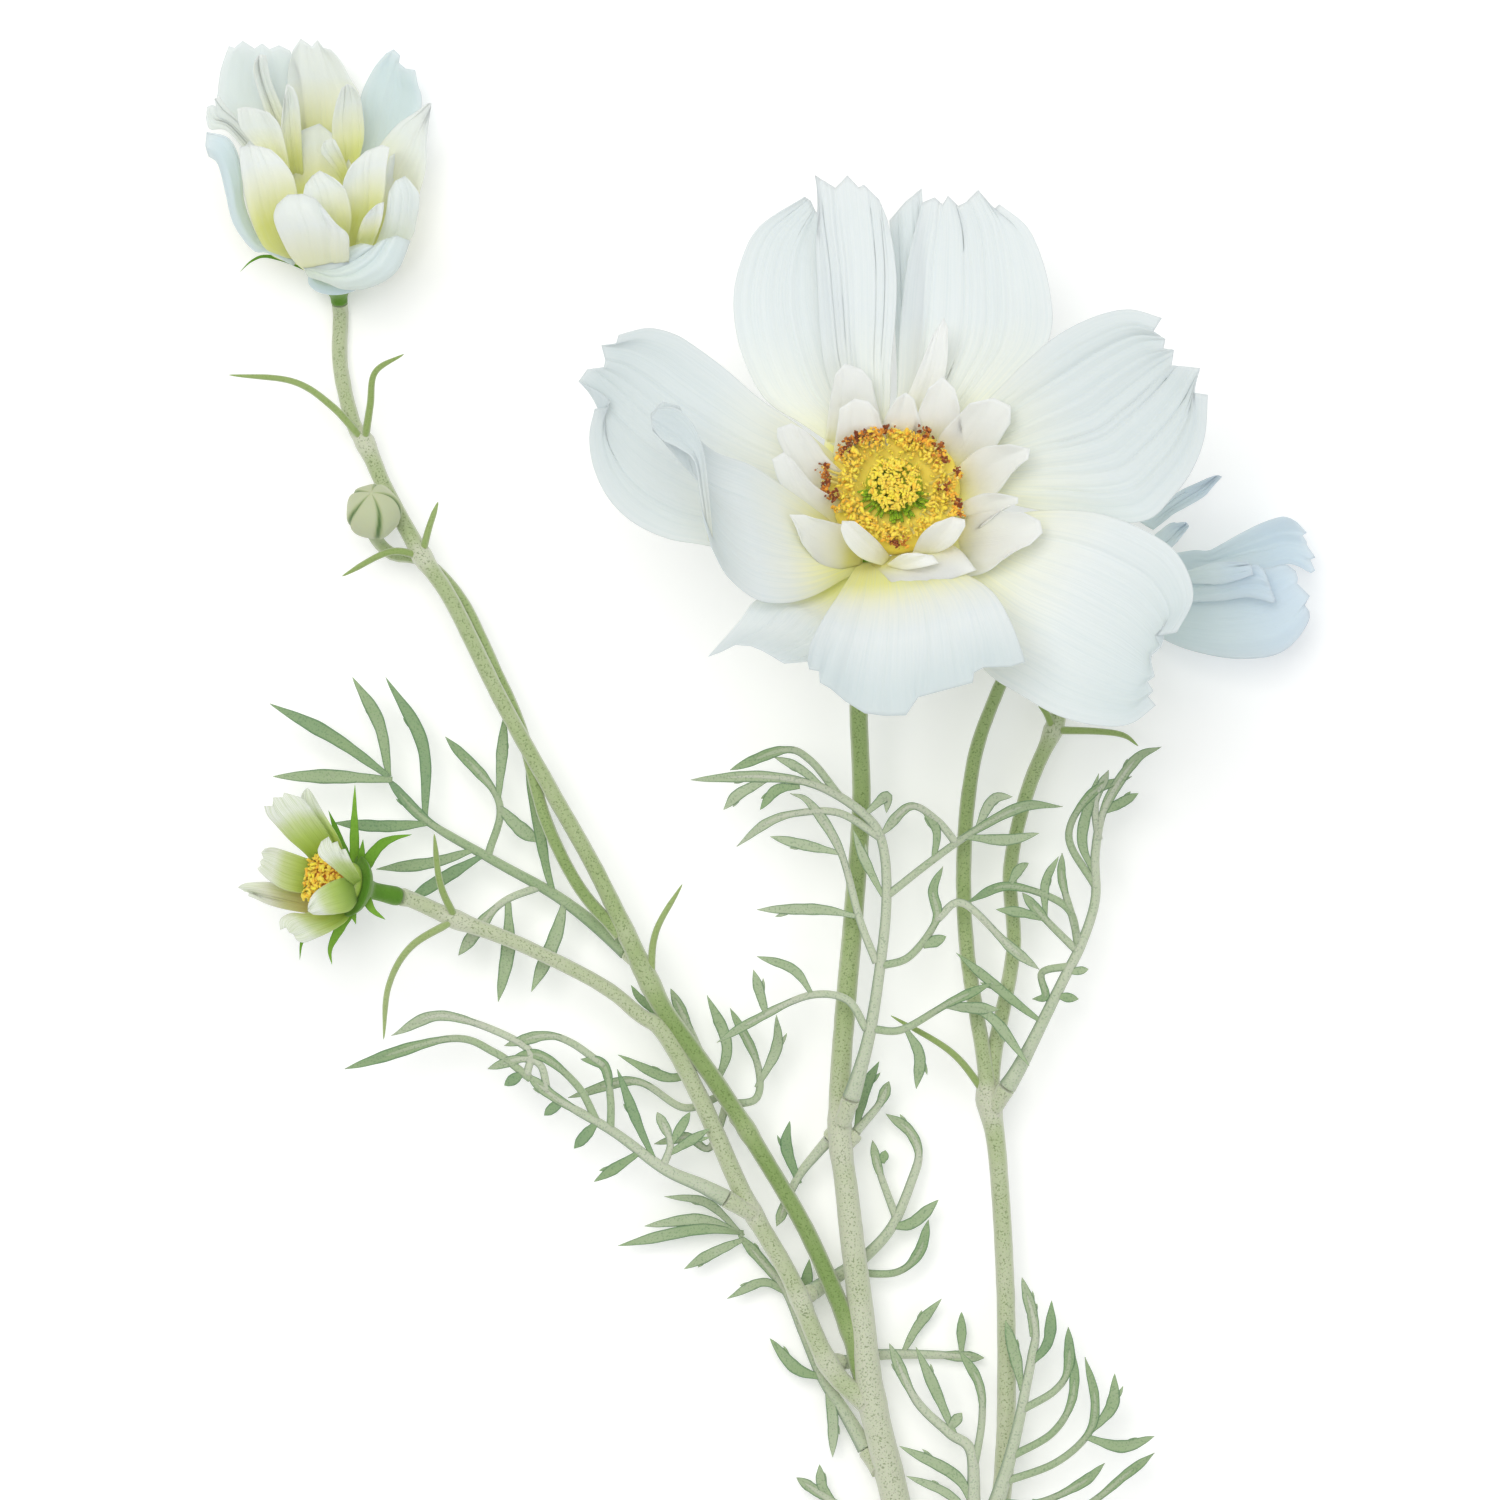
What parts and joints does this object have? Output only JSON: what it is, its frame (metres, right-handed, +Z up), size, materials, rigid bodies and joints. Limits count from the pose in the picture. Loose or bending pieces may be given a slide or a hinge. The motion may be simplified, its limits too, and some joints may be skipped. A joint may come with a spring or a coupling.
{
  "type": "cosmos flower spray",
  "caption": "Cut, branched spray of white semi-double cosmos lying on its back: open bloom, half-open and small blooms, buds and finely cut leaves.",
  "frame": {"origin": "centre of the bounding box in plan, on the surface the spray lies on", "axes": "+X to the right across the spray, +Y along it from the cut end to the blooms, +Z up from the surface"},
  "size_m": [0.1676, 0.2704, 0.0705],
  "materials": {
    "stem": "matte green stem with a fine bloom",
    "leaf": "matte sage green leaf",
    "petals": "soft white petal, translucent at its edge",
    "petals_back": "petal of pale grey blue",
    "petals_small": "yellow green petal with a white tip",
    "disc": "powdery yellow and brown florets",
    "calyx": "matte bright green bracts",
    "bud": "matte pale green bud"
  },
  "bodies": {
    "root": {"ball_bud": "bud", "calyx_back": "calyx", "calyx_left": "calyx", "calyx_main": "calyx", "calyx_small": "calyx", "disc_back": "disc", "disc_left": "disc", "disc_main": "disc", "disc_small": "disc", "leaf_back_left": "leaf", "leaf_bottom_centre": "leaf", "leaf_bottom_left": "leaf", "leaf_bottom_right": "leaf", "leaf_centre": "leaf", "leaf_low_centre": "leaf", "leaf_low_left": "leaf", "leaf_lower_left": "leaf", "leaf_mid_left": "leaf", "leaf_mid_right": "leaf", "leaf_mid_small": "leaf", "leaf_right": "leaf", "leaf_upper_left": "leaf", "petals_back": "petals_back", "petals_left": "petals", "petals_main": "petals", "petals_small": "petals_small", "right_bud": "bud", "stems": "stem"}
  },
  "joints": []
}
